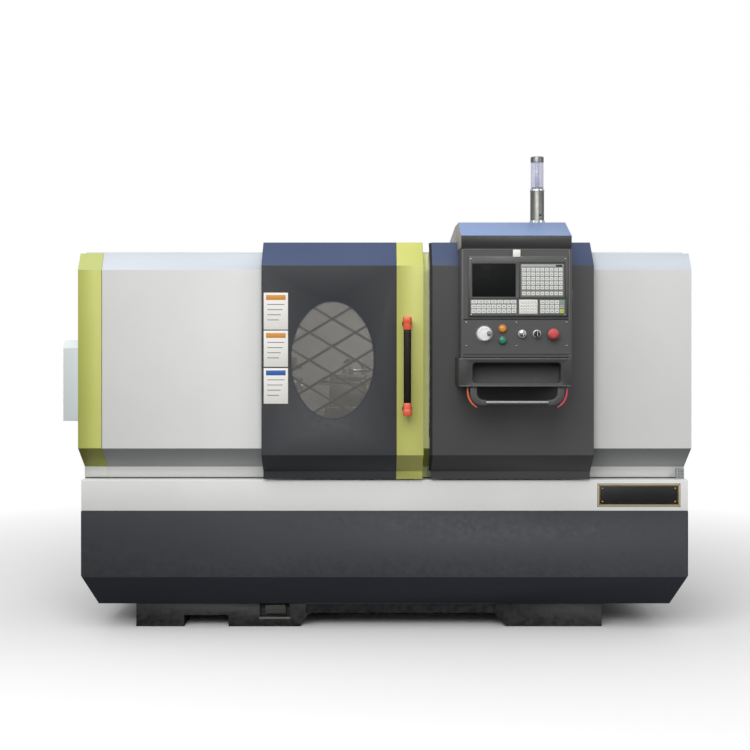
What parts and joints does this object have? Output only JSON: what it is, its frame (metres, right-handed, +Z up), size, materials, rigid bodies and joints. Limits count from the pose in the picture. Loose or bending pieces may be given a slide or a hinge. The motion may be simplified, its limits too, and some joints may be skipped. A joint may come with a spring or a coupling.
{
  "type": "CNC turning lathe",
  "caption": "Flat-bed CNC lathe in a sheet-metal enclosure with sliding door, sliding control console, signal beacon and rear cabinet.",
  "frame": {"origin": "middle of the bounding box on the floor", "axes": "+X to the operator's right along the spindle, +Y to the rear, +Z up"},
  "size_m": [2.53, 1.646, 1.892],
  "materials": {
    "dark_paint": "powder coat, semi-matt",
    "white_paint": "powder coat, semi-matt",
    "green_paint": "powder coat, satin",
    "grey_paint": "powder coat, satin",
    "cast": "painted casting, ground ways",
    "steel": "ground",
    "chuck_steel": "turned",
    "motor_black": "satin enamel",
    "belt_rubber": "matt",
    "glass": "clear safety glass",
    "handle_plastic": "black bar with red ends",
    "console_grey": "fine texture",
    "unit_black": "satin",
    "lens": "clear lilac",
    "amber": "gloss",
    "green_lamp": "gloss",
    "black_plastic": "satin",
    "red_plastic": "satin"
  },
  "bodies": {
    "machine": {"base_tub": "dark_paint", "chip_tray": "white_paint", "left_pedestal": "dark_paint", "right_pedestal": "dark_paint", "bed": "cast", "headstock": "cast", "spindle_bearings": "steel", "main_motor": "motor_black", "drive_belt": "belt_rubber", "z_servo": "motor_black", "end_trim": "green_paint", "left_panel": "white_paint", "opening_frame": "white_paint", "centre_post": "green_paint", "right_panel": "white_paint", "rear_shell": "white_paint", "roof": "white_paint", "partition": "grey_paint", "end_cover": "grey_paint", "cabinet": "grey_paint", "mounting_plate": "steel"},
    "spindle": {"spindle": "steel", "chuck": "chuck_steel", "spindle_pulley": "cast"},
    "jaw_1": {"jaw_1": "steel"},
    "jaw_2": {"jaw_2": "steel"},
    "jaw_3": {"jaw_3": "steel"},
    "motor_rotor": {"motor_rotor": "steel"},
    "z_screw": {"z_screw": "steel"},
    "saddle": {"saddle": "cast", "x_servo": "motor_black"},
    "x_screw": {"x_screw": "steel"},
    "cross_slide": {"cross_slide": "cast"},
    "tool_post": {"tool_post": "chuck_steel", "turning_tools": "steel"},
    "tailstock": {"tailstock": "cast"},
    "quill": {"quill": "steel"},
    "hand_wheel": {"hand_wheel": "cast"},
    "door": {"door_panel": "dark_paint", "door_stile": "green_paint", "window_glass": "glass", "window_grille": "steel", "door_handle": "handle_plastic"},
    "guard": {"guard_cover": "dark_paint", "hood": "dark_paint", "console": "console_grey", "control_unit": "unit_black", "shelf": "console_grey", "pull_handle": "steel", "beacon_post": "steel", "beacon_lens": "lens"},
    "mpg_dial": {"mpg_dial": "black_plastic"},
    "amber_button": {"amber_button": "amber"},
    "green_button": {"green_button": "green_lamp"},
    "key": {"key": "steel"},
    "selector": {"selector": "black_plastic"},
    "stop_stem": {"stop_stem": "steel"},
    "stop_head": {"stop_head": "red_plastic"},
    "cabinet_door": {"cabinet_door": "grey_paint"},
    "main_switch": {"main_switch": "red_plastic"}
  },
  "joints": [
    {"name": "door_slide", "type": "slide", "parent": "machine", "child": "door", "axis": [-1, 0, 0], "range_m": [0, 0.6]},
    {"name": "guard_slide", "type": "slide", "parent": "machine", "child": "guard", "axis": [1, 0, 0], "range_m": [0, 0.38]},
    {"name": "spindle_spin", "type": "hinge", "parent": "machine", "child": "spindle", "pos_m": [-0.765, -0.103, 1.01], "axis": [1, 0, 0], "continuous": true},
    {"name": "motor_spin", "type": "hinge", "parent": "machine", "child": "motor_rotor", "pos_m": [-0.935, 0.277, 0.76], "axis": [1, 0, 0], "continuous": true},
    {"name": "jaw_1_slide", "type": "slide", "parent": "spindle", "child": "jaw_1", "axis": [0, 0, 1], "range_m": [-0.007, 0.018]},
    {"name": "jaw_2_slide", "type": "slide", "parent": "spindle", "child": "jaw_2", "axis": [0, -0.866, -0.5], "range_m": [-0.007, 0.018]},
    {"name": "jaw_3_slide", "type": "slide", "parent": "spindle", "child": "jaw_3", "axis": [0, 0.866, -0.5], "range_m": [-0.007, 0.018]},
    {"name": "saddle_slide", "type": "slide", "parent": "machine", "child": "saddle", "axis": [1, 0, 0], "range_m": [-0.05, 0.45]},
    {"name": "z_screw_spin", "type": "hinge", "parent": "machine", "child": "z_screw", "pos_m": [0.265, -0.318, 0.765], "axis": [1, 0, 0], "range_deg": [-1802, 16202]},
    {"name": "cross_slide_feed", "type": "slide", "parent": "saddle", "child": "cross_slide", "axis": [0, 1, 0], "range_m": [-0.03, 0.12]},
    {"name": "x_screw_spin", "type": "hinge", "parent": "saddle", "child": "x_screw", "pos_m": [-0.085, -0.153, 0.832], "axis": [0, 1, 0], "range_deg": [-2162, 8642]},
    {"name": "tool_post_turn", "type": "hinge", "parent": "cross_slide", "child": "tool_post", "pos_m": [-0.085, -0.293, 0.95], "axis": [0, 0, 1], "continuous": true},
    {"name": "tailstock_slide", "type": "slide", "parent": "machine", "child": "tailstock", "axis": [1, 0, 0], "range_m": [-0.25, 0.02]},
    {"name": "quill_slide", "type": "slide", "parent": "tailstock", "child": "quill", "axis": [-1, 0, 0], "range_m": [0, 0.08]},
    {"name": "hand_wheel_spin", "type": "hinge", "parent": "tailstock", "child": "hand_wheel", "pos_m": [0.935, -0.103, 1.01], "axis": [-1, 0, 0], "range_deg": [-2, 5762]},
    {"name": "mpg_spin", "type": "hinge", "parent": "guard", "child": "mpg_dial", "pos_m": [0.437, -0.756, 1.197], "axis": [0, -1, 0], "continuous": true},
    {"name": "amber_push", "type": "slide", "parent": "guard", "child": "amber_button", "axis": [0, 1, 0], "range_m": [0, 0.003], "stiffness_N_per_m": 600, "springref_m": -0.002},
    {"name": "green_push", "type": "slide", "parent": "guard", "child": "green_button", "axis": [0, 1, 0], "range_m": [0, 0.003], "stiffness_N_per_m": 600, "springref_m": -0.002},
    {"name": "key_turn", "type": "hinge", "parent": "guard", "child": "key", "pos_m": [0.579, -0.756, 1.197], "axis": [0, -1, 0], "range_deg": [0, 90]},
    {"name": "selector_turn", "type": "hinge", "parent": "guard", "child": "selector", "pos_m": [0.634, -0.756, 1.197], "axis": [0, -1, 0], "range_deg": [-45, 45]},
    {"name": "stop_press", "type": "slide", "parent": "guard", "child": "stop_stem", "axis": [0, 1, 0], "range_m": [0, 0.005]},
    {"name": "stop_twist", "type": "hinge", "parent": "stop_stem", "child": "stop_head", "pos_m": [0.693, -0.778, 1.197], "axis": [0, -1, 0], "range_deg": [0, 45]},
    {"name": "cabinet_door_swing", "type": "hinge", "parent": "machine", "child": "cabinet_door", "pos_m": [0.208, 0.784, 1.08], "axis": [0, 0, 1], "range_deg": [0, 110]},
    {"name": "main_switch_turn", "type": "hinge", "parent": "cabinet_door", "child": "main_switch", "pos_m": [0.855, 0.797, 1.32], "axis": [0, 1, 0], "range_deg": [0, 90]}
  ],
  "couplings": [
    {"joint": "motor_spin", "follows": "spindle_spin", "ratio": 1.6129},
    {"joint": "jaw_2_slide", "follows": "jaw_1_slide", "ratio": 1},
    {"joint": "jaw_3_slide", "follows": "jaw_1_slide", "ratio": 1},
    {"joint": "z_screw_spin", "follows": "saddle_slide", "rad_per_m": 628.32},
    {"joint": "x_screw_spin", "follows": "cross_slide_feed", "rad_per_m": 1256.6},
    {"joint": "hand_wheel_spin", "follows": "quill_slide", "rad_per_m": 1256.6}
  ]
}
